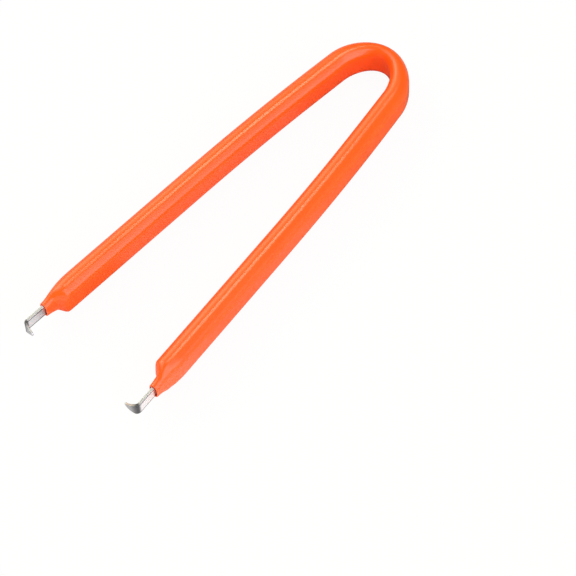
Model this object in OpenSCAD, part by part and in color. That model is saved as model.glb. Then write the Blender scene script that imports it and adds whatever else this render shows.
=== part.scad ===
// U-shaped chip extractor: a spring strip with hooked tips in a dipped vinyl sleeve.
// It lies on its edge: X runs along the tool with the bend at +X, Z is up.
// The origin is at the centre of the footprint, on the surface that the tool lies on.

/* [Bend] */
// Centre line radius of the tight middle of the bend
bend_r = 8.1; // [6:0.1:14]
// Turn of the tight middle, from the apex to either side, in degrees
bend_turn = 26; // [15:1:60]
// Centre line radius of the easier bend on either side of it
shoulder_r = 10.7; // [8:0.1:18]

/* [Arms] */
// Angle between an arm and the tool's axis where it leaves the bend
splay = 7.5; // [5:0.1:14]
// Centre line radius of the gentle bow in the rear of each arm
bow_r = 720; // [300:10:1200]
// Turn of that bow, in degrees
bow_turn = 3.8; // [1:0.1:5]
// Straight front of each arm, up to the sleeve's mouth
front_len = 50.6; // [35:0.1:90]

/* [Strip] */
// Thickness of the spring strip
strip_t = 0.7; // [0.5:0.05:1]
// Width of the spring strip
strip_w = 3.6; // [2.5:0.1:5]
// Bare strip between the sleeve's mouth and the hook
bare_len = 5.1; // [2:0.1:9]

/* [Hooks] */
// Centre line radius of the bend that turns the strip inward
hook_r = 1.0; // [0.7:0.05:2]
// Turn of that bend, in degrees
hook_turn = 74; // [45:1:80]
// Length of the claw beyond the bend
claw_len = 2.9; // [1.5:0.1:4.5]
// Further turn of the left claw along its length, in degrees
left_curl = 8; // [5:1:50]
// Further turn of the right claw along its length, in degrees
right_curl = 34; // [5:1:50]
// Height of the left claw's end over the middle of the strip
left_rise = 0.8; // [-1:0.05:1]
// Height of the right claw's end over the middle of the strip
right_rise = -0.4; // [-1:0.05:1]
// How far beyond the strip's inner face the claws start to narrow
claw_from = 0.15; // [0.05:0.05:0.6]
// Width of the claw at its rounded end
claw_end_w = 1.0; // [0.6:0.1:1.6]
// Thickness to which the claw is ground at its end
claw_end_t = 0.45; // [0.3:0.05:0.5]

/* [Sleeve] */
// Vinyl over the strip's outer face
coat_out = 1.85; // [1:0.05:3]
// Vinyl over the strip's inner face, along the arms
coat_in = 3.1; // [2:0.05:4]
// Vinyl over the strip's inner face at the bend's apex, where it is stretched thin
coat_bend = 1.15; // [0.8:0.05:2]
// How far along the strip that thinning reaches, from the apex
thin_len = 7.6; // [5:0.1:14]
// Vinyl over the strip's narrow edges
coat_edge = 2.9; // [1.5:0.05:4]
// Rounding of the sleeve's long edges
edge_r = 2.7; // [0.8:0.1:3]
// Room between strip and sleeve
fit_gap = 0.1; // [0.05:0.01:0.15]

/* [Necks] */
// Length over which the sleeve's width shrinks to the mouth
neck_len = 6; // [4:0.1:9]
// Length over which the sleeve's outer face slopes down to the mouth
slope_len = 9.5; // [6:0.5:20]
// Where the step in the sleeve's inner face ends, from the mouth
step_at = 3.4; // [1.5:0.1:4]
// Length of that step
step_len = 1.6; // [1.2:0.1:4]
// Vinyl wall at the mouth
mouth_wall = 0.35; // [0.15:0.05:0.5]
// Open gap between the mouth and the strip's wide faces
mouth_gap = 0.5; // [0.2:0.05:0.6]
// Depth of that gap
mouth_depth = 2.2; // [1:0.1:3]
// Rounding of the mouth's corners
mouth_r = 0.8; // [0.4:0.1:1.1]

/* [Hidden] */

// Facets: points on each rounded edge, and rings along each stretch of one arm
EDGE_POINTS = 6;
BEND_RINGS = 26;
BOW_RINGS = 8;
SLOPE_RINGS = 5;
NECK_RINGS = 16;
HOOK_STEPS = 12;
$fn = 64;
// Least flat left between two rounded edges
LEAST_FLAT = 0.1;

// A course is a list of runs, each [length, turn in degrees], walked from a pose [x, y, heading]
function arc_run(r, turn) = [r * turn * PI / 180, turn];
function run_r(run) = run[0] / (run[1] * PI / 180);
function run_end(p, run) =
    run[1] == 0
    ? [p[0] + run[0] * cos(p[2]), p[1] + run[0] * sin(p[2]), p[2]]
    : let (r = run_r(run), h = p[2] + run[1])
      [p[0] + r * (sin(h) - sin(p[2])), p[1] + r * (cos(p[2]) - cos(h)), h];
function walk(p, course, n, i = 0) =
    i == n ? p : walk(run_end(p, course[i]), course, n, i + 1);
function pose_at(s, p, course, i = 0) =
    let (run = course[i])
    s <= run[0] || i == len(course) - 1
    ? run_end(p, [s, run[1] * s / run[0]])
    : pose_at(s - run[0], run_end(p, run), course, i + 1);

// One arm from the apex to its mouth, then its bare tip and hook
BEND_COURSE = [arc_run(bend_r, bend_turn), arc_run(shoulder_r, 90 - splay - bend_turn)];
ARM_COURSE = concat(BEND_COURSE, [arc_run(bow_r, bow_turn), [front_len, 0]]);
function tip_course(curl) = [[bare_len, 0], arc_run(hook_r, hook_turn), [claw_len, curl]];
function full_course(curl) = concat(ARM_COURSE, tip_course(curl));
bend_len = BEND_COURSE[0][0] + BEND_COURSE[1][0];
arm_len = bend_len + ARM_COURSE[2][0] + front_len;
hook_start = arm_len + bare_len;
hook_len = hook_r * hook_turn * PI / 180;
claw_start = hook_start + hook_len;
// How far inward of the strip's centre line the claws start to narrow
narrow_from = strip_t / 2 + claw_from;

// Sleeve half thicknesses and width, from the strip outward
mouth_half_t = strip_t / 2 + mouth_gap + mouth_wall;
mouth_w = strip_w + 2 * (fit_gap + mouth_wall);
sleeve_w = strip_w + 2 * coat_edge;

// The apex is placed so that the tool's length is centred on the origin
function claw_front(curl) =
    let (hook = walk([0, 0, 90], full_course(curl), len(ARM_COURSE) + 2),
         claw = [claw_len, curl],
         tip = run_end(hook, claw))
    tip[2] > 270
    ? hook[0] - run_r(claw) * (1 + sin(hook[2])) - blend(strip_t, claw_end_t, (270 - hook[2]) / curl) / 2
    : tip[0] + claw_end_t / 2 * sin(tip[2]);
apex_out = strip_t / 2 + coat_out;
apex_x = -(apex_out + min(claw_front(left_curl), claw_front(right_curl))) / 2;
APEX = [apex_x, 0, 90];

// Smooth change from 0 at a to 1 at b
function ease(x, a, b) =
    let (t = min(max((x - a) / (b - a), 0), 1))
    t * t * (3 - 2 * t);
function blend(a, b, t) = a + (b - a) * t;
function reversed(items) = [for (i = [len(items) - 1:-1:0]) items[i]];

// Sleeve section at s along an arm, its mouth at arm_len: half thickness inward and outward, and width
function bend_share(s) = exp(-pow(s / thin_len, 2));
function inner_coat(s) = blend(coat_in, coat_bend, bend_share(s));
function step_share(s) = ease(arm_len - s, step_at, step_at + step_len);
function half_t_in(s) = blend(mouth_half_t, strip_t / 2 + inner_coat(s), step_share(s));
function half_t_out(s) = blend(mouth_half_t, strip_t / 2 + coat_out, ease(arm_len - s, 0, slope_len));
function width_at(s) = blend(mouth_w, sleeve_w, ease(arm_len - s, 0, neck_len));
function round_r_at(s) = blend(mouth_r, edge_r, ease(arm_len - s, 0, neck_len));
function cavity_half_t(s) = strip_t / 2 + blend(mouth_gap, fit_gap, ease(arm_len - s, 0, mouth_depth));

// Rounded section as [outward, up] points, one rounded corner after another
function section(t_in, t_out, w, round_r) =
    let (r = min(round_r, (t_in + t_out - LEAST_FLAT) / 2, (w - LEAST_FLAT) / 2))
    [for (corner = [0:3], i = [0:EDGE_POINTS - 1])
        let (a = 90 * (corner + i / (EDGE_POINTS - 1)),
             u = corner == 0 || corner == 3 ? t_out - r : r - t_in,
             v = corner < 2 ? w / 2 - r : r - w / 2)
        [u + r * cos(a), v + r * sin(a)]];
function sleeve_section(s) = section(half_t_in(s), half_t_out(s), width_at(s), round_r_at(s));
function cavity(t, w) = [[t, w / 2], [-t, w / 2], [-t, -w / 2], [t, -w / 2]];

// Section points set across the path at s, which is negative along the right arm
function ring(s, points) =
    let (p = pose_at(abs(s), APEX, ARM_COURSE), side = s < 0 ? -1 : 1)
    [for (q = points)
        [p[0] + q[0] * sin(p[2]), side * (p[1] - q[0] * cos(p[2])), sleeve_w / 2 + q[1]]];

// Where the rings lie along one arm, then along the whole U
bow_end = arm_len - front_len;
neck_start = arm_len - max(neck_len, step_at + step_len);
slope_start = arm_len - max(slope_len, neck_len, step_at + step_len);
ARM_RINGS = concat(
    [for (i = [1:BEND_RINGS]) bend_len * i / BEND_RINGS],
    [for (i = [1:BOW_RINGS]) blend(bend_len, bow_end, i / BOW_RINGS)],
    [for (i = [0:SLOPE_RINGS - 1]) blend(slope_start, neck_start, i / SLOPE_RINGS)],
    [for (i = [0:NECK_RINGS]) blend(neck_start, arm_len, i / NECK_RINGS)]);
U_RINGS = concat(-reversed(ARM_RINGS), [0], ARM_RINGS);

// Skin of k-point rings from point index first on, seen from outside or inside
function skin(first, k, flip) =
    [for (i = [0:len(U_RINGS) - 2], j = [0:k - 1])
        let (a = first + i * k + j, b = first + i * k + (j + 1) % k)
        each flip ? [[b, a, a + k], [b, a + k, b + k]] : [[a, b, b + k], [a, b + k, a + k]]];
// Flat rim that joins an outer ring to the four corners of the cavity
function rim(outer, inner, flip) =
    [for (corner = [0:3], i = [0:EDGE_POINTS - 1])
        let (a = outer + corner * EDGE_POINTS + i,
             next = (corner + 1) % 4,
             face = i < EDGE_POINTS - 1
                 ? [a, a + 1, inner + corner]
                 : [a, outer + next * EDGE_POINTS, inner + next, inner + corner])
        flip ? face : reversed(face)];

// Stations along one arm and its hook, then the strip's outer edge (side 1) or inner edge (side -1)
function strip_stations(curl) = concat(
    [for (i = [1:BEND_RINGS]) bend_len * i / BEND_RINGS],
    [for (i = [1:BOW_RINGS]) blend(bend_len, bow_end, i / BOW_RINGS)],
    [for (i = [0:HOOK_STEPS]) hook_start + hook_len * i / HOOK_STEPS],
    [for (i = [1:HOOK_STEPS]) claw_start + claw_len * i / HOOK_STEPS]);
function strip_half_t(s) = blend(strip_t, claw_end_t, max(s - claw_start, 0) / claw_len) / 2;
function strip_edge(side, curl) =
    [for (s = strip_stations(curl))
        let (p = pose_at(s, APEX, full_course(curl)), q = side * strip_half_t(s))
        [p[0] + q * sin(p[2]), p[1] - q * cos(p[2])]];
function flipped(points) = [for (q = reversed(points)) [q[0], -q[1]]];
function whole_edge(side) = concat(
    flipped(strip_edge(side, right_curl)), [[apex_x + side * strip_t / 2, 0]], strip_edge(side, left_curl));

// Outline of the claw seen from the front: full width at the bend, narrowing to a round end
module claw_outline(reach, rise) {
    round_from = reach - claw_end_w / 2;
    polygon([[0, -strip_w / 2], [narrow_from, -strip_w / 2], [round_from, rise - claw_end_w / 2],
             [round_from, rise + claw_end_w / 2], [narrow_from, strip_w / 2], [0, strip_w / 2]]);
    translate([round_from, rise]) circle(d = claw_end_w);
}

// What is cut away beside one claw
module claw_cut(curl, rise) {
    start = pose_at(hook_start, APEX, full_course(curl));
    claw_r = claw_len / (curl * PI / 180);
    reach = hook_r * (1 - cos(hook_turn)) + claw_r * (cos(hook_turn) - cos(hook_turn + curl));
    translate([start[0], start[1], strip_w / 2]) rotate(start[2]) rotate([90, 0, 90])
        translate([0, 0, -claw_len]) linear_extrude(3 * claw_len) difference() {
            translate([narrow_from, -strip_w]) square([reach + strip_t, 2 * strip_w]);
            claw_outline(reach, rise);
        }
}

module spring_strip() {
    color("silver") translate([0, 0, coat_edge]) difference() {
        linear_extrude(strip_w) polygon(concat(whole_edge(1), reversed(whole_edge(-1))));
        claw_cut(left_curl, left_rise);
        mirror([0, 1, 0]) claw_cut(right_curl, right_rise);
    }
}

module vinyl_sleeve() {
    outer_k = 4 * EDGE_POINTS;
    last = len(U_RINGS) - 1;
    inner_first = outer_k * (last + 1);
    points = concat(
        [for (s = U_RINGS) each ring(s, sleeve_section(abs(s)))],
        [for (s = U_RINGS) each ring(s, cavity(cavity_half_t(abs(s)), strip_w + 2 * fit_gap))]);
    faces = concat(
        skin(0, outer_k, false),
        skin(inner_first, 4, true),
        rim(0, inner_first, false),
        rim(outer_k * last, inner_first + 4 * last, true));
    color("orangered") polyhedron(points, faces);
}

spring_strip();
vinyl_sleeve();
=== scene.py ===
"""Dressed model of a U-shaped chip extractor: a hooked spring strip in a dipped vinyl sleeve.

Both pieces are modelled straight, as bars along X, and then curved along the course that the
strip follows from the middle of the bend to the tip of either arm. Sizes are in millimetres
until a piece is finished, and in metres from then on.
"""

import logging
import math
from dataclasses import dataclass
from enum import Enum
from typing import Callable, Iterable, Sequence

import bmesh
import bpy
from mathutils import Matrix, Vector

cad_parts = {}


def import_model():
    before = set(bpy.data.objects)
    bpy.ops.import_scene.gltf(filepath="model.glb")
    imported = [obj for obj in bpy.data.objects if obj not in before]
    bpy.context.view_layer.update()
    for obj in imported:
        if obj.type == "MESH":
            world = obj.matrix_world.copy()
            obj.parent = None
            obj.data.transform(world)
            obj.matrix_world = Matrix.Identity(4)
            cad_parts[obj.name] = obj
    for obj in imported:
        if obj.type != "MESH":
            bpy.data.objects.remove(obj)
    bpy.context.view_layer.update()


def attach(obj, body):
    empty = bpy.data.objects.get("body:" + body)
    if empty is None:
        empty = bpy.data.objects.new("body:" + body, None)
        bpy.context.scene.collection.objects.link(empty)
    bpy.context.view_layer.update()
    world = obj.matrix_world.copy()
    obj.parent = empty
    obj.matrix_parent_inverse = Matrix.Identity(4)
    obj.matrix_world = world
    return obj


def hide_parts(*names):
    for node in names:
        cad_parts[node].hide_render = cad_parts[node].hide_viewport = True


Pair = tuple[float, float]
Triple = tuple[float, float, float]

LOG = logging.getLogger("chip_extractor")
MM = 0.001
STRIP_MAP = "strip_map"

# A length in millimetres, or a turn in radians, that is below these counts as nothing.
TINY = 1e-4
STRAIGHT = 1e-9

# How much of its grain the mottle takes in, and the range that it then runs over.
GRAIN_SHARE = 0.35
MOTTLE_RANGE = (0.45, 0.90)


def ease(x: float, low: float, high: float) -> float:
    """Smooth change from 0 at low to 1 at high."""
    t = min(max((x - low) / (high - low), 0.0), 1.0)
    return t * t * (3.0 - 2.0 * t)


def blend(a: float, b: float, share: float) -> float:
    """The value that lies a share of the way from a to b."""
    return a + (b - a) * share


def spread(low: float, high: float, steps: int) -> list[float]:
    """Evenly spaced values after low, up to and with high."""
    return [blend(low, high, (i + 1) / steps) for i in range(steps)]


class Side(Enum):
    """The two arms, by the sign of Y that they lie on."""

    LEFT = 1
    RIGHT = -1


@dataclass(frozen=True)
class Pose:
    """A place and heading on a course, in millimetres and radians."""

    x: float
    y: float
    heading: float


@dataclass(frozen=True)
class Run:
    """One stretch of a course.

    Attributes:
        length: Length along the centre line.
        turn: How far the stretch turns to the left, in degrees.
    """

    length: float
    turn: float = 0.0

    @staticmethod
    def arc(radius: float, turn: float) -> "Run":
        """A stretch of that radius and turn."""
        return Run(radius * math.radians(turn), turn)

    def follow(self, start: Pose, share: float = 1.0) -> Pose:
        """Walk a share of this stretch.

        Args:
            start: Pose at the start of the stretch.
            share: How much of it is walked, from 0 to 1.

        Returns:
            The pose that is reached.
        """
        length = self.length * share
        turn = math.radians(self.turn) * share
        if abs(turn) < STRAIGHT:
            return Pose(
                start.x + length * math.cos(start.heading),
                start.y + length * math.sin(start.heading),
                start.heading,
            )
        radius = length / turn
        heading = start.heading + turn
        return Pose(
            start.x + radius * (math.sin(heading) - math.sin(start.heading)),
            start.y + radius * (math.cos(start.heading) - math.cos(heading)),
            heading,
        )

    def handle(self, pieces: int) -> float:
        """Length of a Bezier handle where the stretch is drawn in that many pieces."""
        turn = math.radians(self.turn) / pieces
        if abs(turn) < STRAIGHT:
            return self.length / pieces / 3.0
        return 4.0 / 3.0 * math.tan(turn / 4.0) * (self.length / math.radians(self.turn))


@dataclass(frozen=True)
class Course:
    """A path that is walked from a starting pose, one stretch after another."""

    start: Pose
    runs: tuple[Run, ...]

    PIECE_TURN = 10.0

    def length_of(self, count: int) -> float:
        """Length of the first stretches, that many of them."""
        return sum(run.length for run in self.runs[:count])

    def pose_at(self, s: float) -> Pose:
        """Pose at the length s from the start."""
        pose = self.start
        for run in self.runs:
            if s <= run.length:
                return run.follow(pose, s / run.length)
            pose = run.follow(pose)
            s -= run.length
        return pose

    def knots(self) -> list[tuple[Pose, float, float]]:
        """Bezier knots along the course, each a pose with the lengths of its two handles."""
        pose = self.start
        found: list[tuple[Pose, float, float]] = []
        before = 0.0
        for run in self.runs:
            pieces = max(1, math.ceil(abs(run.turn) / self.PIECE_TURN))
            after = run.handle(pieces)
            for i in range(pieces):
                found.append((run.follow(pose, i / pieces), before, after))
                before = after
            pose = run.follow(pose)
        found.append((pose, before, before))
        return found


@dataclass(frozen=True)
class Layout:
    """The course that both pieces follow, as the solids have it.

    Attributes:
        apex_x: Where the strip's centre line crosses the tool's axis.
        mid_height: Height of the strip's centre line over the surface.
    """

    apex_x: float = 55.975
    mid_height: float = 4.7
    bend_r: float = 8.1
    bend_turn: float = 26.0
    shoulder_r: float = 10.7
    splay: float = 7.5
    bow_r: float = 720.0
    bow_turn: float = 3.8
    front_len: float = 50.6
    bare_len: float = 5.1
    hook_r: float = 1.0
    hook_turn: float = 74.0
    claw_len: float = 2.9
    left_curl: float = 8.0
    right_curl: float = 34.0

    BEND_RUNS = 2
    ARM_RUNS = 4

    def curl(self, side: Side) -> float:
        """Turn of one arm's claw along its length, in degrees."""
        return self.left_curl if side is Side.LEFT else self.right_curl

    def course(self, side: Side) -> Course:
        """Course of one arm, drawn as the left one, from the apex to the end of its claw."""
        return Course(
            Pose(self.apex_x, 0.0, math.pi / 2.0),
            (
                Run.arc(self.bend_r, self.bend_turn),
                Run.arc(self.shoulder_r, 90.0 - self.splay - self.bend_turn),
                Run.arc(self.bow_r, self.bow_turn),
                Run(self.front_len),
                Run(self.bare_len),
                Run.arc(self.hook_r, self.hook_turn),
                Run(self.claw_len, self.curl(side)),
            ),
        )

    @property
    def bend_len(self) -> float:
        """Length of the bend along one arm."""
        return self.course(Side.LEFT).length_of(self.BEND_RUNS)

    @property
    def arm_len(self) -> float:
        """Length of one arm, from the apex to the sleeve's mouth."""
        return self.course(Side.LEFT).length_of(self.ARM_RUNS)

    @property
    def hook_at(self) -> float:
        """Where the hook starts, along either arm."""
        return self.arm_len + self.bare_len


@dataclass(frozen=True)
class Station:
    """A section across a straight bar.

    Attributes:
        s: Place along the bar.
        inward: Reach of the section on the inner side of the centre line.
        outward: Reach on the outer side.
        wide: Width, across the strip.
        lift: Height of its middle over the centre line.
    """

    s: float
    inward: float
    outward: float
    wide: float
    lift: float = 0.0

    @property
    def thick(self) -> float:
        """Whole thickness."""
        return self.inward + self.outward

    @property
    def middle(self) -> float:
        """Middle of the thickness, positive on the inner side."""
        return (self.inward - self.outward) / 2.0


class Workbench:
    """Modelling moves that the pieces share, made with the operators as by hand."""

    CURVE_STEPS = 48
    CORNER_SLACK = 1.1
    QUAD = 4

    @staticmethod
    def clear() -> None:
        """Leave edit mode and deselect everything."""
        if bpy.context.mode != "OBJECT":
            bpy.ops.object.mode_set(mode="OBJECT")
        bpy.ops.object.select_all(action="DESELECT")

    @staticmethod
    def take(piece: bpy.types.Object) -> None:
        """Make one piece the only one that is selected and active."""
        Workbench.clear()
        piece.select_set(True)
        bpy.context.view_layer.objects.active = piece

    @staticmethod
    def edit(piece: bpy.types.Object, mode: str = "FACE") -> None:
        """Open a piece in edit mode with nothing selected."""
        Workbench.take(piece)
        bpy.ops.object.mode_set(mode="EDIT")
        bpy.ops.mesh.select_mode(type=mode)
        bpy.ops.mesh.select_all(action="DESELECT")

    @staticmethod
    def pick(piece: bpy.types.Object, kind: str, test: Callable[..., bool]) -> None:
        """Select the faces, edges or verts that pass a test.

        Args:
            piece: The piece, in edit mode.
            kind: "faces", "edges" or "verts".
            test: Says of an element whether it is selected.
        """
        mesh = bmesh.from_edit_mesh(piece.data)
        for element in getattr(mesh, kind):
            if test(element):
                element.select_set(True)
        mesh.select_flush_mode()
        bmesh.update_edit_mesh(piece.data)

    @staticmethod
    def section(
        name: str, at: Station, corner: float, segments: int, cuts: int
    ) -> bpy.types.Object:
        """Draw the rounded section that a bar starts from.

        Args:
            name: Name of the new piece.
            at: Place and size of the section.
            corner: Rounding of its corners.
            segments: Edges on each corner.
            cuts: Cuts in each straight side.

        Returns:
            The piece, in edit mode, with its one face selected.
        """
        Workbench.clear()
        bpy.ops.mesh.primitive_plane_add(size=1.0, rotation=(0.0, math.pi / 2.0, 0.0))
        piece = bpy.context.object
        piece.name = name
        piece.data.name = name
        bpy.ops.object.transform_apply(location=False, rotation=True, scale=False)
        Workbench.edit(piece, "VERT")
        bpy.ops.mesh.select_all(action="SELECT")
        bpy.ops.transform.resize(value=(1.0, at.thick, at.wide), center_override=(0.0, 0.0, 0.0))
        bpy.ops.transform.translate(value=(at.s, at.middle, 0.0))
        bpy.ops.mesh.bevel(offset=corner, segments=segments, affect="VERTICES", clamp_overlap=True)
        bpy.ops.mesh.select_all(action="DESELECT")
        bpy.ops.mesh.select_mode(type="EDGE")
        longest = corner * math.pi / 2.0 / segments * Workbench.CORNER_SLACK
        Workbench.pick(piece, "edges", lambda edge: edge.calc_length() > longest)
        bpy.ops.mesh.subdivide(number_cuts=cuts)
        bpy.ops.mesh.select_mode(type="FACE")
        bpy.ops.mesh.select_all(action="SELECT")
        return piece

    @staticmethod
    def pull(stations: Sequence[Station]) -> None:
        """Extrude the selected end face from the first station to each of the others."""
        for old, new in zip(stations, stations[1:]):
            step = (new.s - old.s, new.middle - old.middle, new.lift - old.lift)
            bpy.ops.mesh.extrude_region_move(TRANSFORM_OT_translate={"value": step})
            bpy.ops.transform.resize(
                value=(1.0, new.thick / old.thick, new.wide / old.wide),
                center_override=(new.s, new.middle, new.lift),
            )

    @staticmethod
    def lies_at(face: bmesh.types.BMFace, s: float) -> bool:
        """Whether a face lies across a straight bar at s."""
        return all(abs(v.co.x - s) < TINY for v in face.verts)

    @staticmethod
    def open_end(piece: bpy.types.Object, s: float) -> None:
        """Delete the faces that close a bar at s, and leave their edges."""
        bpy.ops.mesh.select_all(action="DESELECT")
        Workbench.pick(piece, "faces", lambda face: Workbench.lies_at(face, s))
        bpy.ops.mesh.delete(type="ONLY_FACE")

    @staticmethod
    def map_length(piece: bpy.types.Object, name: str) -> None:
        """Give a straight bar a map of its length and its height.

        Args:
            piece: The bar, before it is curved.
            name: Name of the UV map.
        """
        Workbench.clear()
        mesh = piece.data
        layer = mesh.uv_layers.new(name=name)
        for loop in mesh.loops:
            at = mesh.vertices[loop.vertex_index].co
            layer.data[loop.index].uv = (at.x, at.z)

    @staticmethod
    def bend(piece: bpy.types.Object, course: Course, height: float) -> None:
        """Bend a straight bar along a course.

        Args:
            piece: The bar, along X from 0, with its inner side at +Y.
            course: The course that its centre line takes.
            height: Height of that line.
        """
        Workbench.clear()
        bpy.ops.curve.primitive_bezier_curve_add()
        guide = bpy.context.object
        line = guide.data
        line.dimensions = "3D"
        line.twist_mode = "Z_UP"
        line.resolution_u = Workbench.CURVE_STEPS
        knots = course.knots()
        spline = line.splines[0]
        spline.bezier_points.add(len(knots) - len(spline.bezier_points))
        for knot, (pose, before, after) in zip(spline.bezier_points, knots):
            along = Vector((math.cos(pose.heading), math.sin(pose.heading), 0.0))
            knot.handle_left_type = "FREE"
            knot.handle_right_type = "FREE"
            knot.co = Vector((pose.x, pose.y, height))
            knot.handle_left = knot.co - along * before
            knot.handle_right = knot.co + along * after
        Workbench.take(piece)
        modifier = piece.modifiers.new("bend", "CURVE")
        modifier.object = guide
        modifier.deform_axis = "POS_X"
        bpy.ops.object.modifier_apply(modifier=modifier.name)
        Workbench.take(guide)
        bpy.ops.object.delete()
        bpy.data.curves.remove(line)

    @staticmethod
    def apply(piece: bpy.types.Object, kind: str, **values: object) -> None:
        """Add a modifier with those values and apply it."""
        Workbench.take(piece)
        modifier = piece.modifiers.new(kind.lower(), kind)
        for name, value in values.items():
            setattr(modifier, name, value)
        bpy.ops.object.modifier_apply(modifier=modifier.name)

    @staticmethod
    def close(piece: bpy.types.Object) -> None:
        """Merge doubled points and turn all faces outward."""
        Workbench.edit(piece)
        bpy.ops.mesh.select_all(action="SELECT")
        bpy.ops.mesh.remove_doubles(threshold=TINY)
        bpy.ops.mesh.normals_make_consistent(inside=False)
        Workbench.clear()

    @staticmethod
    def to_metres(piece: bpy.types.Object) -> None:
        """Bring a finished piece from millimetres to metres, with its place in its mesh."""
        Workbench.take(piece)
        bpy.ops.transform.resize(value=(MM, MM, MM), center_override=(0.0, 0.0, 0.0))
        bpy.ops.object.transform_apply(location=True, rotation=True, scale=True)


class NodeBoard:
    """One node tree, and short ways to add and join its nodes."""

    def __init__(self, tree: bpy.types.NodeTree) -> None:
        """Take over a tree and empty it."""
        self.tree = tree
        tree.nodes.clear()

    def add(self, kind: str, **values: object) -> bpy.types.Node:
        """Add a node, and set its properties or, by name, its input sockets.

        Args:
            kind: Node type, such as "ShaderNodeMath".
            **values: Properties and input sockets, by name.

        Returns:
            The new node.
        """
        node = self.tree.nodes.new(kind)
        for name, value in values.items():
            if hasattr(node, name):
                setattr(node, name, value)
            else:
                node.inputs[name].default_value = value
        return node

    def join(self, out: bpy.types.NodeSocket, into: bpy.types.NodeSocket) -> None:
        """Link an output to an input."""
        self.tree.links.new(out, into)

    def math(self, operation: str, a: object, b: object) -> bpy.types.NodeSocket:
        """A sum on two sockets or numbers.

        Args:
            operation: The Math node's operation.
            a: First socket or number.
            b: Second socket or number.

        Returns:
            The result's socket.
        """
        node = self.add("ShaderNodeMath", operation=operation)
        for into, value in zip(node.inputs, (a, b)):
            if isinstance(value, bpy.types.NodeSocket):
                self.join(value, into)
            else:
                into.default_value = value
        return node.outputs[0]

    def span(self, value: bpy.types.NodeSocket, low: float, high: float) -> bpy.types.NodeSocket:
        """Smooth change from 0 at low to 1 at high."""
        node = self.add("ShaderNodeMapRange", interpolation_type="SMOOTHSTEP")
        node.inputs["From Min"].default_value = low
        node.inputs["From Max"].default_value = high
        self.join(value, node.inputs["Value"])
        return node.outputs[0]

    def mix(self, share: bpy.types.NodeSocket, a: object, b: object) -> bpy.types.NodeSocket:
        """Two colours, or sockets that give them, mixed by a share."""
        node = self.add("ShaderNodeMix", data_type="RGBA")
        self.join(share, node.inputs["Factor"])
        for socket, colour in zip([i for i in node.inputs if i.type == "RGBA"], (a, b)):
            if isinstance(colour, bpy.types.NodeSocket):
                self.join(colour, socket)
            else:
                socket.default_value = (*colour, 1.0)
        return [o for o in node.outputs if o.type == "RGBA"][0]

    def mottle(self, group: bpy.types.NodeTree, scales: Pair, ends: Pair) -> bpy.types.Node:
        """Add the shared mottle, on the piece's own coordinates.

        Args:
            group: The shared group of patches and grain.
            scales: Scales of its patches and of its grain.
            ends: Least and most of its value.

        Returns:
            The group's node.
        """
        place = self.add("ShaderNodeTexCoord")
        node = self.add("ShaderNodeGroup", node_tree=group)
        self.join(place.outputs["Object"], node.inputs["Vector"])
        for name, value in zip(("Patch Scale", "Grain Scale", "Low", "High"), (*scales, *ends)):
            node.inputs[name].default_value = value
        return node


def mottle_group() -> bpy.types.NodeTree:
    """Soft uneven patches with a fine grain in them, which more than one finish uses.

    Returns:
        The node group, with a value that runs from Low to High, its patches and a plain height.
    """
    group = bpy.data.node_groups.new("surface_mottle", "ShaderNodeTree")
    board = NodeBoard(group)
    face = group.interface
    face.new_socket("Vector", in_out="INPUT", socket_type="NodeSocketVector")
    for name in ("Patch Scale", "Grain Scale", "Low", "High"):
        face.new_socket(name, in_out="INPUT", socket_type="NodeSocketFloat")
    for name in ("Value", "Patches", "Height"):
        face.new_socket(name, in_out="OUTPUT", socket_type="NodeSocketFloat")
    into = board.add("NodeGroupInput")
    out = board.add("NodeGroupOutput")
    patches = board.add("ShaderNodeTexNoise", Detail=2.0, Roughness=0.5)
    grain = board.add("ShaderNodeTexNoise", Detail=3.0, Roughness=0.6)
    for node, scale in ((patches, "Patch Scale"), (grain, "Grain Scale")):
        board.join(into.outputs["Vector"], node.inputs["Vector"])
        board.join(into.outputs[scale], node.inputs["Scale"])
    both = board.math("MULTIPLY_ADD", grain.outputs["Fac"], GRAIN_SHARE)
    board.join(patches.outputs["Fac"], both.node.inputs[2])
    span = board.add("ShaderNodeMapRange")
    board.join(both, span.inputs["Value"])
    span.inputs["From Min"].default_value = MOTTLE_RANGE[0]
    span.inputs["From Max"].default_value = MOTTLE_RANGE[1]
    board.join(into.outputs["Low"], span.inputs["To Min"])
    board.join(into.outputs["High"], span.inputs["To Max"])
    board.join(span.outputs[0], out.inputs["Value"])
    board.join(patches.outputs["Fac"], out.inputs["Patches"])
    board.join(grain.outputs["Fac"], out.inputs["Height"])
    return group


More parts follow.
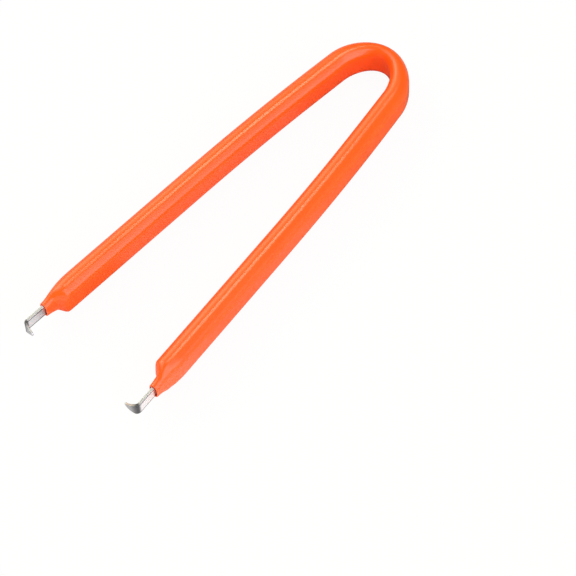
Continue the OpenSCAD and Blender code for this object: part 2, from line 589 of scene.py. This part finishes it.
@dataclass(frozen=True)
class VinylFinish:
    """Smooth glossy orange vinyl, as a dipped coat sets.

    Attributes:
        deep: Colour of its darker patches.
        light: Colour of its lighter patches.
        peel: Strength of the faint unevenness of its skin.
        peel_depth: Depth of that, in metres.
    """

    name: str = "orange_vinyl"
    deep: Triple = (0.960, 0.103, 0.006)
    light: Triple = (0.980, 0.128, 0.012)
    patch_scale: float = 70.0
    grain_scale: float = 1500.0
    least_rough: float = 0.22
    most_rough: float = 0.25
    ior: float = 1.5
    peel: float = 0.003
    peel_depth: float = 0.0002

    def material(self, mottle: bpy.types.NodeTree) -> bpy.types.Material:
        """Make the material.

        Args:
            mottle: The shared group of patches and grain.

        Returns:
            The finished material.
        """
        made = bpy.data.materials.new(self.name)
        made.use_nodes = True
        board = NodeBoard(made.node_tree)
        uneven = board.mottle(
            mottle, (self.patch_scale, self.grain_scale), (self.least_rough, self.most_rough)
        )
        shader = board.add("ShaderNodeBsdfPrincipled", IOR=self.ior)
        bump = board.add("ShaderNodeBump", Strength=self.peel, Distance=self.peel_depth)
        out = board.add("ShaderNodeOutputMaterial")
        colour = board.mix(uneven.outputs["Patches"], self.deep, self.light)
        board.join(colour, shader.inputs["Base Color"])
        board.join(uneven.outputs["Value"], shader.inputs["Roughness"])
        board.join(uneven.outputs["Height"], bump.inputs["Height"])
        board.join(bump.outputs[0], shader.inputs["Normal"])
        board.join(shader.outputs[0], out.inputs["Surface"])
        return made


@dataclass(frozen=True)
class SteelFinish:
    """Spring steel with grinding streaks along its length, and painted shade: dark at the hooks,
    darker grey on the claws, and along its edges.

    Attributes:
        hook_at: Where the hooks start, along the strip's map, in millimetres.
        dark: Colour of its darker streaks.
        bright: Colour of its brighter streaks.
        painted_hook_shade: Painted shade, the near-black colour of the hooks.
        painted_claw_shade: Painted shade, the darker grey of the claws.
        painted_hook_shade_over: Where the hooks' painted shade starts and is full, from hook_at.
        painted_claw_shade_over: The same for the claws' painted shade.
        line: Colour of a thin dark line along either edge, which is painted shade.
        line_at: Where those lines are, as heights over and under the middle.
        line_soft: How far they fade.
        edge: Colour of the edges, darker than the faces as painted shade.
        edge_from: Where the edges' colour starts and is full, as heights like those.
        groove: Strength of the streaks' relief.
        groove_depth: Depth of that, in metres.
    """

    hook_at: float
    name: str = "spring_steel"
    dark: Triple = (0.84, 0.85, 0.88)
    bright: Triple = (0.96, 0.97, 0.99)
    # Painted shade: the hooks are near black, standing in for their dark reflections.
    painted_hook_shade: Triple = (0.10, 0.10, 0.11)
    # Painted shade: the claws are a darker grey, standing in for their dim reflections.
    painted_claw_shade: Triple = (0.55, 0.56, 0.58)
    painted_hook_shade_over: Pair = (-0.25, 0.45)
    painted_claw_shade_over: Pair = (0.6, 2.6)
    # Painted shade: a thin dark line along either edge of the wide faces.
    line: Triple = (0.22, 0.22, 0.23)
    line_at: Pair = (1.38, 1.62)
    line_soft: float = 0.08
    # Painted shade: the edges are a darker grey, which dims the bright reflection in them.
    edge: Triple = (0.50, 0.51, 0.54)
    edge_from: Pair = (1.66, 1.74)
    streak_scale: float = 9.0
    streak_stretch: float = 0.04
    streak_detail: float = 4.0
    streak_rough: float = 0.65
    least_rough: float = 0.36
    most_rough: float = 0.50
    patch_scale: float = 500.0
    grain_scale: float = 4000.0
    groove: float = 0.015
    groove_depth: float = 0.00004

    def material(self, mottle: bpy.types.NodeTree) -> bpy.types.Material:
        """Make the material.

        Args:
            mottle: The shared group of patches and grain.

        Returns:
            The finished material.
        """
        made = bpy.data.materials.new(self.name)
        made.use_nodes = True
        board = NodeBoard(made.node_tree)
        along = board.add("ShaderNodeUVMap", uv_map=STRIP_MAP)
        length = board.add("ShaderNodeSeparateXYZ")
        stretch = board.add("ShaderNodeMapping")
        stretch.inputs["Scale"].default_value = (self.streak_stretch, 1.0, 1.0)
        streaks = board.add(
            "ShaderNodeTexNoise",
            Scale=self.streak_scale,
            Detail=self.streak_detail,
            Roughness=self.streak_rough,
        )
        uneven = board.mottle(
            mottle, (self.patch_scale, self.grain_scale), (self.least_rough, self.most_rough)
        )
        shader = board.add("ShaderNodeBsdfPrincipled", Metallic=1.0)
        bump = board.add("ShaderNodeBump", Strength=self.groove, Distance=self.groove_depth)
        out = board.add("ShaderNodeOutputMaterial")
        board.join(along.outputs[0], stretch.inputs["Vector"])
        board.join(along.outputs[0], length.inputs[0])
        board.join(stretch.outputs[0], streaks.inputs["Vector"])
        colour = board.mix(streaks.outputs["Fac"], self.dark, self.bright)
        height = board.math("ABSOLUTE", length.outputs["Y"], 0.0)
        # Painted shade: thin dark lines along the edges of the wide faces.
        enter = board.span(height, self.line_at[0] - self.line_soft, self.line_at[0])
        leave = board.span(height, self.line_at[1] + self.line_soft, self.line_at[1])
        colour = board.mix(board.math("MULTIPLY", enter, leave), colour, self.line)
        # Painted shade on the edges.
        colour = board.mix(board.span(height, *self.edge_from), colour, self.edge)
        # Painted shade over the streaks: near black at the hooks, then darker grey on the claws.
        for tint, over in ((self.painted_hook_shade, self.painted_hook_shade_over), (self.painted_claw_shade, self.painted_claw_shade_over)):
            start, full = (self.hook_at + at for at in over)
            colour = board.mix(board.span(length.outputs["X"], start, full), colour, tint)
        board.join(colour, shader.inputs["Base Color"])
        board.join(uneven.outputs["Value"], shader.inputs["Roughness"])
        board.join(streaks.outputs["Fac"], bump.inputs["Height"])
        board.join(bump.outputs[0], shader.inputs["Normal"])
        board.join(shader.outputs[0], out.inputs["Surface"])
        return made


@dataclass
class VinylSleeve:
    """The soft coat: a hollow sleeve with a necked, open mouth at either end.

    Attributes:
        layout: The course that it follows.
        coat_out: Thickness of the coat on the strip's outer face.
        coat_in: The same on its inner face.
        coat_bend: The same on its inner face in the middle of the bend.
        thin_len: How far from there the coat stays thin.
        coat_edge: Thickness of the coat on the strip's edges.
        edge_r: Rounding of its corners.
        fit_gap: Gap between the strip and the hollow.
        neck_len: Length over which it narrows to the mouth.
        slope_len: Length of the outer slope of a neck.
        step_at: Where the inner step of a neck starts, from the mouth.
        step_len: Length of that step.
        drawn_step: Where that step starts and ends on its upper side.
        drawn_height: From which height to which it is drawn out, as shares of the half width.
        lead_len: Even stretch behind a slope, where the bar is started.
        rear_len: Stretch behind that, up to the bowed part.
        seam: How near to each other points of both halves are merged.
    """

    layout: Layout
    strip_t: float = 0.7
    strip_w: float = 3.6
    coat_out: float = 1.85
    coat_in: float = 3.1
    coat_bend: float = 1.15
    thin_len: float = 7.6
    coat_edge: float = 2.9
    edge_r: float = 2.7
    fit_gap: float = 0.1
    neck_len: float = 6.0
    slope_len: float = 9.5
    step_at: float = 3.4
    step_len: float = 1.6
    mouth_wall: float = 0.35
    mouth_gap: float = 0.5
    mouth_depth: float = 2.2
    drawn_step: Pair = (2.5, 5.8)
    drawn_height: Pair = (-0.60, 0.80)
    corner_segments: int = 6
    side_cuts: int = 1
    lead_len: float = 4.0
    rear_len: float = 30.0
    slope_rings: int = 14
    neck_rings: int = 20
    rear_rings: int = 4
    bow_rings: int = 7
    bend_rings: int = 26
    mouth_rings: int = 4
    bore_rings: int = 9
    bore_bend_rings: int = 10
    seam: float = 0.01
    smooth_levels: int = 2

    NODE = "vinyl_sleeve"
    NAME = "dipped_sleeve"
    SLOT = "orange_vinyl"

    @property
    def mouth_half(self) -> float:
        """Half thickness of the sleeve at its mouth."""
        return self.strip_t / 2.0 + self.mouth_gap + self.mouth_wall

    @property
    def mouth_wide(self) -> float:
        """Width of the sleeve at its mouth."""
        return self.strip_w + 2.0 * (self.fit_gap + self.mouth_wall)

    def skin_at(self, s: float) -> Station:
        """Section of the outer skin at s along an arm."""
        left = self.layout.arm_len - s
        stretched = math.exp(-((s / self.thin_len) ** 2))
        inner = self.strip_t / 2.0 + blend(self.coat_in, self.coat_bend, stretched)
        outer = self.strip_t / 2.0 + self.coat_out
        wide = self.strip_w + 2.0 * self.coat_edge
        return Station(
            s,
            blend(self.mouth_half, inner, ease(left, self.step_at, self.step_at + self.step_len)),
            blend(self.mouth_half, outer, ease(left, 0.0, self.slope_len)),
            blend(self.mouth_wide, wide, ease(left, 0.0, self.neck_len)),
        )

    def bore_at(self, s: float) -> Station:
        """Section of the hollow at s along an arm."""
        left = self.layout.arm_len - s
        gap = blend(self.mouth_gap, self.fit_gap, ease(left, 0.0, self.mouth_depth))
        half = self.strip_t / 2.0 + gap
        return Station(s, half, half, self.strip_w + 2.0 * self.fit_gap)

    def build(self) -> bpy.types.Object:
        """Model the sleeve.

        Returns:
            The finished mesh, in metres.
        """
        end = self.layout.arm_len
        bend = self.layout.bend_len
        start = end - self.slope_len - self.lead_len
        bow = start - self.rear_len
        neck = end - self.neck_len
        forward = [
            start,
            *spread(start, neck, self.slope_rings),
            *spread(neck, end, self.neck_rings),
        ]
        back = [
            start,
            *spread(start, bow, self.rear_rings),
            *spread(bow, bend, self.bow_rings),
            *spread(bend, 0.0, self.bend_rings),
        ]
        piece = Workbench.section(
            self.NAME, self.skin_at(start), self.edge_r, self.corner_segments, self.side_cuts
        )
        Workbench.pull([self.skin_at(s) for s in forward])
        self.hollow(end)
        self.draw_out(piece, forward)
        bpy.ops.mesh.select_all(action="DESELECT")
        Workbench.pick(
            piece,
            "faces",
            lambda face: len(face.verts) > Workbench.QUAD and Workbench.lies_at(face, start),
        )
        Workbench.pull([self.skin_at(s) for s in back])
        Workbench.open_end(piece, 0.0)
        Workbench.clear()
        Workbench.bend(piece, self.layout.course(Side.LEFT), self.layout.mid_height)
        Workbench.apply(
            piece,
            "MIRROR",
            use_axis=(False, True, False),
            use_clip=True,
            merge_threshold=self.seam,
        )
        Workbench.close(piece)
        Workbench.apply(
            piece, "SUBSURF", levels=self.smooth_levels, render_levels=self.smooth_levels
        )
        Workbench.to_metres(piece)
        bpy.ops.object.shade_smooth()
        return piece

    def draw_out(self, piece: bpy.types.Object, places: Sequence[float]) -> None:
        """Draw the neck's step out along the upper side, and leave it short along the lower one.

        Args:
            piece: The straight sleeve, in edit mode.
            places: Where its rings are.
        """
        bpy.ops.mesh.select_mode(type="VERT")
        whole = self.strip_w / 2.0 + self.coat_edge
        turns = [math.pi / 2.0 * k / self.corner_segments for k in range(self.corner_segments + 1)]
        upper = [1.0 - self.edge_r / whole * (1.0 - math.sin(turn)) for turn in turns]
        full = self.strip_t / 2.0 + self.coat_in
        level = 10.0 * TINY
        for s in places:
            at = self.skin_at(s)
            drawn = blend(self.mouth_half, full, ease(self.layout.arm_len - s, *self.drawn_step))
            if abs(drawn - at.inward) < TINY:
                continue
            for height in (*(-h for h in upper), 0.0, *upper):
                z = height * at.wide / 2.0
                share = ease(height, *self.drawn_height)
                bpy.ops.mesh.select_all(action="DESELECT")
                Workbench.pick(
                    piece, "verts", lambda v: abs(v.co.x - s) < TINY and abs(v.co.z - z) < level
                )
                bpy.ops.transform.resize(
                    value=(1.0, 1.0 + (drawn - at.inward) * share / at.thick, 1.0),
                    center_override=(s, -at.outward, 0.0),
                )
        bpy.ops.mesh.select_mode(type="FACE")

    def hollow(self, end: float) -> None:
        """Sink the mouth and the hollow behind it into the selected end face.

        Args:
            end: Where the mouth is, along the arm.
        """
        deep = end - self.mouth_depth
        bend = self.layout.bend_len
        Workbench.pull([self.skin_at(end), self.bore_at(end)])
        inward = [
            end,
            *spread(end, deep, self.mouth_rings),
            *spread(deep, bend, self.bore_rings),
            *spread(bend, 0.0, self.bore_bend_rings),
        ]
        Workbench.pull([self.bore_at(s) for s in inward])

    def dress(self, piece: bpy.types.Object, material: bpy.types.Material) -> None:
        """Give the sleeve its finish and tie it to the frame."""
        piece.data.materials.append(material)
        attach(piece, "root")
        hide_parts(self.NODE)


@dataclass
class SpringStrip:
    """The steel strip, with a narrowed claw hooked inward at either tip.

    Attributes:
        layout: The course that it follows.
        claw_end_w: Width of a claw's end.
        claw_end_t: Thickness of a claw's end.
        claw_from: How far past the strip's inner face a claw starts to narrow.
        left_rise: How far the left claw's end lies over the middle.
        right_rise: The same for the right one.
        edge_r: Rounding of the edges.
        lead_len: Stretch before a hook that has rings of its own.
        round_len: Stretch over which a claw's end is rounded off.
        least_round: Least square of the end's width, as a share.
        crease: Angle in degrees above which an edge is sharp.
    """

    layout: Layout
    strip_t: float = 0.7
    strip_w: float = 3.6
    claw_end_w: float = 1.0
    claw_end_t: float = 0.45
    claw_from: float = 0.15
    left_rise: float = 0.8
    right_rise: float = -0.4
    edge_r: float = 0.09
    corner_segments: int = 3
    side_cuts: int = 3
    lead_len: float = 0.3
    round_len: float = 0.65
    least_round: float = 0.05
    crease: float = 40.0
    bend_rings: int = 28
    bow_rings: int = 8
    front_rings: int = 6
    lead_rings: int = 2
    hook_rings: int = 16
    claw_rings: int = 14
    end_rings: int = 8

    NODE = "spring_strip"
    NAME = "hooked_strip"
    SLOT = "spring_steel"

    def section_at(self, s: float, side: Side) -> Station:
        """Section of the strip at s along an arm."""
        layout = self.layout
        course = layout.course(side)
        hook = course.length_of(len(course.runs) - 2)
        claw = course.length_of(len(course.runs) - 1)
        share = max(s - claw, 0.0) / layout.claw_len
        half = blend(self.strip_t, self.claw_end_t, share) / 2.0
        start = course.pose_at(hook)
        reach = self.inward(start, course.pose_at(claw + layout.claw_len))
        depth = self.inward(start, course.pose_at(s)) if s > hook else 0.0
        narrow_from = self.strip_t / 2.0 + self.claw_from
        round_from = reach - self.claw_end_w / 2.0
        rise = self.left_rise if side is Side.LEFT else self.right_rise
        narrowed = min(max((depth - narrow_from) / (round_from - narrow_from), 0.0), 1.0)
        wide = blend(self.strip_w, self.claw_end_w, narrowed)
        if depth > round_from:
            over = (depth - round_from) / (self.claw_end_w / 2.0)
            wide = self.claw_end_w * math.sqrt(max(1.0 - over * over, self.least_round))
        return Station(s, half, half, wide, rise * narrowed)

    @staticmethod
    def inward(start: Pose, at: Pose) -> float:
        """How far a pose lies to the left of the line through another one."""
        ahead, left = at.x - start.x, at.y - start.y
        return left * math.cos(start.heading) - ahead * math.sin(start.heading)

    def half(self, side: Side) -> bpy.types.Object:
        """Model one half of the strip, from the apex to the claw's end.

        Args:
            side: Which arm it is.

        Returns:
            The half, curved along its course, in millimetres.
        """
        layout = self.layout
        course = layout.course(side)
        hook = course.length_of(len(course.runs) - 2)
        claw = course.length_of(len(course.runs) - 1)
        tip = claw + layout.claw_len
        front = layout.arm_len - layout.front_len
        lead = hook - self.lead_len
        round_off = tip - self.round_len
        places = [
            0.0,
            *spread(0.0, layout.bend_len, self.bend_rings),
            *spread(layout.bend_len, front, self.bow_rings),
            *spread(front, lead, self.front_rings),
            *spread(lead, hook, self.lead_rings),
            *spread(hook, claw, self.hook_rings),
            *spread(claw, round_off, self.claw_rings),
            *spread(round_off, tip, self.end_rings),
        ]
        piece = Workbench.section(
            f"{self.NAME}_{side.name.lower()}",
            self.section_at(0.0, side),
            self.edge_r,
            self.corner_segments,
            self.side_cuts,
        )
        Workbench.pull([self.section_at(s, side) for s in places])
        Workbench.open_end(piece, 0.0)
        Workbench.clear()
        Workbench.map_length(piece, STRIP_MAP)
        Workbench.bend(piece, course, layout.mid_height)
        if side is Side.RIGHT:
            Workbench.edit(piece)
            bpy.ops.mesh.select_all(action="SELECT")
            bpy.ops.transform.resize(value=(1.0, -1.0, 1.0), center_override=(0.0, 0.0, 0.0))
            bpy.ops.mesh.flip_normals()
            Workbench.clear()
        return piece

    def build(self) -> bpy.types.Object:
        """Model the strip.

        Returns:
            The finished mesh, in metres.
        """
        left = self.half(Side.LEFT)
        right = self.half(Side.RIGHT)
        Workbench.take(left)
        right.select_set(True)
        bpy.ops.object.join()
        left.name = self.NAME
        left.data.name = self.NAME
        Workbench.close(left)
        Workbench.to_metres(left)
        bpy.ops.object.shade_smooth_by_angle(angle=math.radians(self.crease))
        return left

    def dress(self, piece: bpy.types.Object, material: bpy.types.Material) -> None:
        """Give the strip its finish and tie it to the frame."""
        piece.data.materials.append(material)
        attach(piece, "root")
        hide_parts(self.NODE)


@dataclass(frozen=True)
class SoftLight:
    """A flat lamp that faces a point near the tool.

    Attributes:
        name: Name of the lamp.
        towards: Direction from the tool to the lamp.
        away: Distance from the tool, in metres.
        size: Its sides, in metres, the first of which follows Y.
        shine: Brightness of its face, where 1 is white.
        tint: Colour of its light.
        mirrored: Whether glossy faces mirror it.
    """

    name: str
    towards: Triple
    away: float
    size: Pair
    shine: float
    tint: Triple = (1.0, 1.0, 1.0)
    mirrored: bool = True


@dataclass(frozen=True)
class SoftPanel:
    """A panel with soft edges, as a range of directions in the surroundings or places on the floor.

    Attributes:
        glow: Its colour, where 1 is white.
        x: Least and most X of the directions or places, and how far those edges fade.
        y: The same along Y.
        z: The same along Z, which takes in all of them where it isn't given.
    """

    glow: Triple
    x: Triple
    y: Triple
    z: Triple = (-2.0, 2.0, 0.1)

    def mask(self, board: NodeBoard, parts: bpy.types.Node) -> bpy.types.NodeSocket:
        """Where the panel is.

        Args:
            board: The node tree that it is in.
            parts: Node that gives the X, Y and Z of a direction or a place.

        Returns:
            A socket that is 1 on the panel and 0 off it.
        """
        inside: object = 1.0
        for at, (low, high, soft) in zip(parts.outputs, (self.x, self.y, self.z)):
            enter = board.span(at, low - soft / 2.0, low + soft / 2.0)
            leave = board.span(at, high + soft / 2.0, high - soft / 2.0)
            inside = board.math("MULTIPLY", inside, board.math("MULTIPLY", enter, leave))
        return inside


@dataclass
class Studio:
    """Camera, floor, surroundings and lamps.

    Attributes:
        away: Distance of the camera from its target, in metres.
        clip: Nearest and farthest that the camera sees.
        floor_drop: How far the floor lies under the tool, so that no faces coincide.
        seen_white: How much of the floor is plain white to the camera.
        mirrored_white: The same to mirrored rays.
        paper: Colour of the rest of the floor.
        mirrored_paper: The same to mirrored rays.
        painted_floor_patches: Patches of the floor with a colour of their own to mirrored rays,
            painted shadow beside and between the arms and one painted light beside the right arm
            near its tip.
        painted_tip_light: Patch by the tips that is whiter to them, which is painted light.
        front_over: From which X to which the surroundings leave front_horizon.
        rear_over: From which X to which they become rear_horizon.
        ceiling_over: From which Z to which they become ceiling.
        lit_point: The point that the lamps face.
    """

    azimuth: float = -46.96
    elevation: float = 58.53
    roll: float = -3.24
    away: float = 0.63539
    target: Triple = (-0.00989, -0.02336, 0.0047)
    lens: float = 167.85
    sensor: float = 36.0
    clip: Pair = (0.01, 200.0)
    floor_size: float = 60.0
    floor_drop: float = 0.00003
    seen_white: float = 0.95
    mirrored_white: float = 0.08
    paper: Triple = (0.90, 0.90, 0.90)
    mirrored_paper: Triple = (0.46, 0.46, 0.46)
    # Painted shadow beside and between the arms, and one painted pool of light beside the right arm
    # near its tip, seen only by mirrored rays.
    painted_floor_patches: tuple[SoftPanel, ...] = (
        SoftPanel((0.16, 0.16, 0.16), (0.015, 1.0, 0.04), (-1.0, -0.011, 0.006)),
        SoftPanel((0.08, 0.08, 0.08), (0.034, 0.060, 0.012), (-0.012, 0.012, 0.006)),
        SoftPanel((0.06, 0.06, 0.06), (-0.051, -0.028, 0.006), (-0.002, 0.0142, 0.003)),
        SoftPanel((0.95, 0.95, 0.95), (-0.20, -0.034, 0.024), (-0.20, -0.0165, 0.004)),
    )
    # Painted light: mirrored rays see the floor by the tips as whiter.
    painted_tip_light: SoftPanel = SoftPanel(
        (0.60, 0.60, 0.60), (-0.2, -0.0515, 0.003), (-0.1, 0.1, 0.02)
    )
    horizon: Triple = (0.62, 0.62, 0.60)
    front_horizon: Triple = (0.15, 0.15, 0.15)
    rear_horizon: Triple = (0.25, 0.25, 0.25)
    ceiling: Triple = (0.12, 0.12, 0.12)
    front_over: Pair = (-0.70, -0.10)
    rear_over: Pair = (0.34, 0.60)
    ceiling_over: Pair = (0.10, 0.45)
    panels: tuple[SoftPanel, ...] = (
        SoftPanel((3.4, 3.25, 2.0), (-0.30, 0.47, 0.12), (0.30, 2.0, 0.20), (0.30, 0.70, 0.36)),
        SoftPanel((2.6, 2.4, 2.5), (-0.50, 0.325, 0.07), (-2.0, -0.25, 0.08)),
        SoftPanel((3.0, 2.8, 2.9), (-0.50, 0.37, 0.24), (-2.0, -0.80, 0.14)),
    )
    lamps: tuple[SoftLight, ...] = (
        SoftLight(
            name="window",
            towards=(0.394, 0.125, 0.911),
            away=5.0,
            size=(1.45, 0.50),
            shine=13.0,
            tint=(1.0, 0.965, 0.72),
        ),
        SoftLight(
            name="left_key",
            towards=(-0.20, 0.60, 0.78),
            away=0.9,
            size=(0.80, 0.80),
            shine=1.5,
        ),
        SoftLight(
            name="front_fill",
            towards=(-0.90, 0.02, 0.40),
            away=0.8,
            size=(0.60, 0.45),
            shine=2.3,
            tint=(1.0, 0.50, 0.20),
            mirrored=False,
        ),
    )
    lit_point: Triple = (0.0, 0.0, 0.005)

    def camera(self) -> None:
        """Place the camera at the photograph's angle."""
        az, el = math.radians(self.azimuth), math.radians(self.elevation)
        back = Vector((math.sin(az) * math.cos(el), -math.cos(az) * math.cos(el), math.sin(el)))
        right = Vector((math.cos(az), math.sin(az), 0.0))
        turn = Matrix((right, back.cross(right), back)).transposed()
        turn = turn @ Matrix.Rotation(math.radians(self.roll), 3, "Z")
        place = Vector(self.target) + back * self.away
        bpy.ops.object.camera_add(location=place, rotation=turn.to_euler())
        eye = bpy.context.object
        eye.name = "eye"
        eye.data.sensor_fit = "HORIZONTAL"
        eye.data.sensor_width = self.sensor
        eye.data.lens = self.lens
        eye.data.clip_start, eye.data.clip_end = self.clip
        bpy.context.scene.camera = eye

    def surroundings(self) -> None:
        """Pale near the horizon and dim overhead, with the panels, the same for every ray."""
        world = bpy.data.worlds.new("surroundings")
        bpy.context.scene.world = world
        world.use_nodes = True
        board = NodeBoard(world.node_tree)
        place = board.add("ShaderNodeTexCoord")
        parts = board.add("ShaderNodeSeparateXYZ")
        board.join(place.outputs["Generated"], parts.inputs[0])
        colour: object = self.front_horizon
        for axis, over, next_colour in (
            ("X", self.front_over, self.horizon),
            ("X", self.rear_over, self.rear_horizon),
            ("Z", self.ceiling_over, self.ceiling),
        ):
            colour = board.mix(board.span(parts.outputs[axis], *over), colour, next_colour)
        for panel in self.panels:
            colour = board.mix(panel.mask(board, parts), colour, panel.glow)
        light = board.add("ShaderNodeBackground")
        out = board.add("ShaderNodeOutputWorld")
        board.join(colour, light.inputs["Color"])
        board.join(light.outputs[0], out.inputs["Surface"])

    def floor(self) -> None:
        """A white floor that keeps a faint shadow, with painted shadow and painted light in patches
        that only mirrored rays see.
        """
        Workbench.clear()
        bpy.ops.mesh.primitive_plane_add(
            size=self.floor_size, location=(0.0, 0.0, -self.floor_drop)
        )
        floor = bpy.context.object
        floor.name = "floor"
        made = bpy.data.materials.new("white_floor")
        made.use_nodes = True
        board = NodeBoard(made.node_tree)
        path = board.add("ShaderNodeLightPath")
        mirrored = board.math(
            "MAXIMUM", path.outputs["Is Glossy Ray"], path.outputs["Is Transmission Ray"]
        )
        place = board.add("ShaderNodeTexCoord")
        parts = board.add("ShaderNodeSeparateXYZ")
        board.join(place.outputs["Object"], parts.inputs[0])
        # Painted light: by the tips, mirrored rays see more of the floor as plain white.
        at_tips = self.painted_tip_light.mask(board, parts)
        mirrored_share = board.mix(at_tips, (self.mirrored_white,) * 3, self.painted_tip_light.glow)
        share = board.math(
            "MAXIMUM",
            board.math("MULTIPLY", mirrored, mirrored_share),
            board.math("MULTIPLY", path.outputs["Is Camera Ray"], self.seen_white),
        )
        # Painted shadow and painted light: floor patches that mirrored rays see darker or brighter.
        dimmed: object = self.mirrored_paper
        for patch in self.painted_floor_patches:
            dimmed = board.mix(patch.mask(board, parts), dimmed, patch.glow)
        paper = board.add("ShaderNodeBsdfDiffuse")
        board.join(board.mix(mirrored, self.paper, dimmed), paper.inputs["Color"])
        white = board.add("ShaderNodeEmission", Strength=1.0)
        both = board.add("ShaderNodeMixShader")
        out = board.add("ShaderNodeOutputMaterial")
        board.join(share, both.inputs[0])
        board.join(paper.outputs[0], both.inputs[1])
        board.join(white.outputs[0], both.inputs[2])
        board.join(both.outputs[0], out.inputs["Surface"])
        floor.data.materials.append(made)

    def light(self) -> None:
        """Hang the lamps."""
        for lamp in self.lamps:
            Workbench.clear()
            towards = Vector(lamp.towards).normalized()
            side = Vector((0.0, 1.0, 0.0))
            side = (side - towards * side.dot(towards)).normalized()
            facing = Matrix((side, towards.cross(side), towards)).transposed()
            place = Vector(self.lit_point) + towards * lamp.away
            bpy.ops.object.light_add(type="AREA", location=place, rotation=facing.to_euler())
            hung = bpy.context.object
            hung.name = lamp.name
            hung.data.shape = "RECTANGLE"
            hung.data.size, hung.data.size_y = lamp.size
            hung.data.energy = lamp.shine * math.pi * lamp.size[0] * lamp.size[1]
            hung.data.color = lamp.tint
            hung.visible_glossy = lamp.mirrored

    def set_up(self) -> None:
        """Make everything around the tool."""
        bpy.context.scene.view_settings.view_transform = "Standard"
        self.camera()
        self.surroundings()
        self.floor()
        self.light()


def main() -> None:
    """Build the tool around the frame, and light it."""
    logging.basicConfig(level=logging.INFO, format="%(name)s: %(message)s")
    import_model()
    layout = Layout()
    mottle = mottle_group()
    for assembly, finish in (
        (VinylSleeve(layout), VinylFinish()),
        (SpringStrip(layout), SteelFinish(layout.hook_at)),
    ):
        piece = assembly.build()
        assembly.dress(piece, finish.material(mottle))
        LOG.info("%s: %d faces, %s", piece.name, len(piece.data.polygons), finish.name)
    Studio().set_up()


if __name__ == "__main__":
    main()
